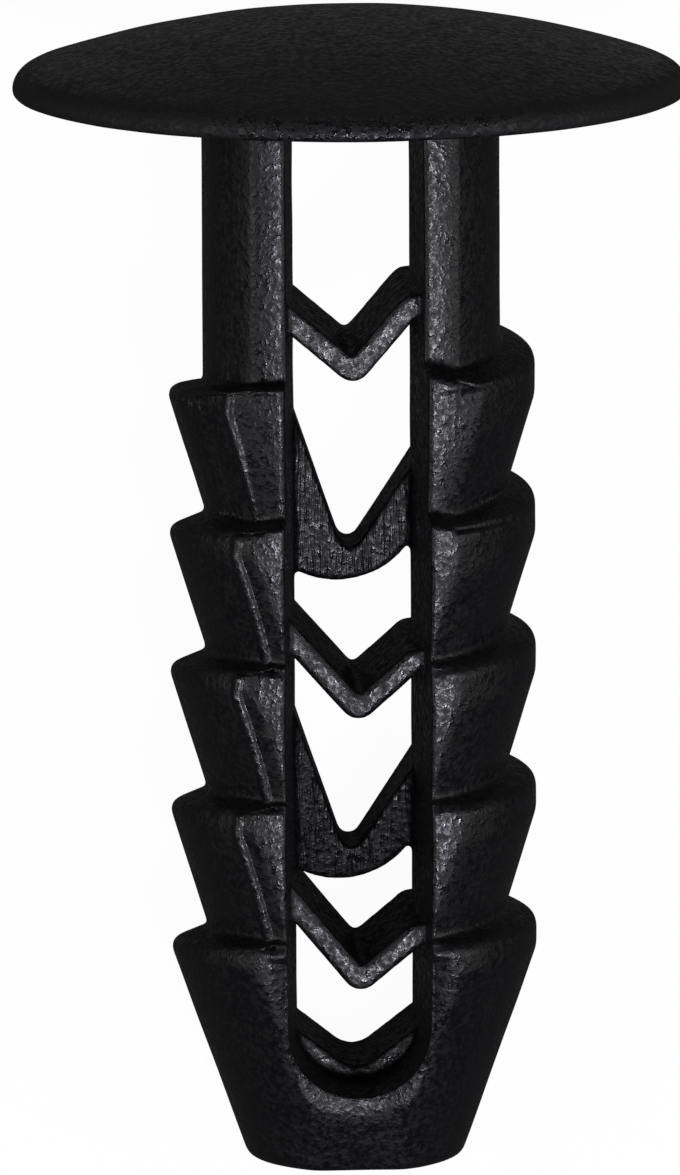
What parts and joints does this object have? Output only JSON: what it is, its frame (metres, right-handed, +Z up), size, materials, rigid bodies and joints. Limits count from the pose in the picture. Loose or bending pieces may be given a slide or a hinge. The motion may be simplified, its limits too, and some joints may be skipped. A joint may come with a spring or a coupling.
{
  "type": "fir tree clip",
  "caption": "Push-in fir tree clip: a round domed head on a split, barbed shank whose legs are joined by thin chevrons and notched webs, with a tapered nose.",
  "frame": {"origin": "centre of the bounding box's bottom face, on the surface that the clip lies on", "axes": "+Z up; the clip lies on the edge of its head and the backs of its lowest barbs, with the head towards +Y, the nose towards -Y and the slotted front up; +X is to the right as the front is seen from above with the head at the top"},
  "size_m": [0.018, 0.0314, 0.0176],
  "materials": {
    "black_nylon": "satin moulded nylon, finely mottled"
  },
  "bodies": {
    "root": {"fir_tree_clip": "black_nylon"}
  },
  "joints": []
}
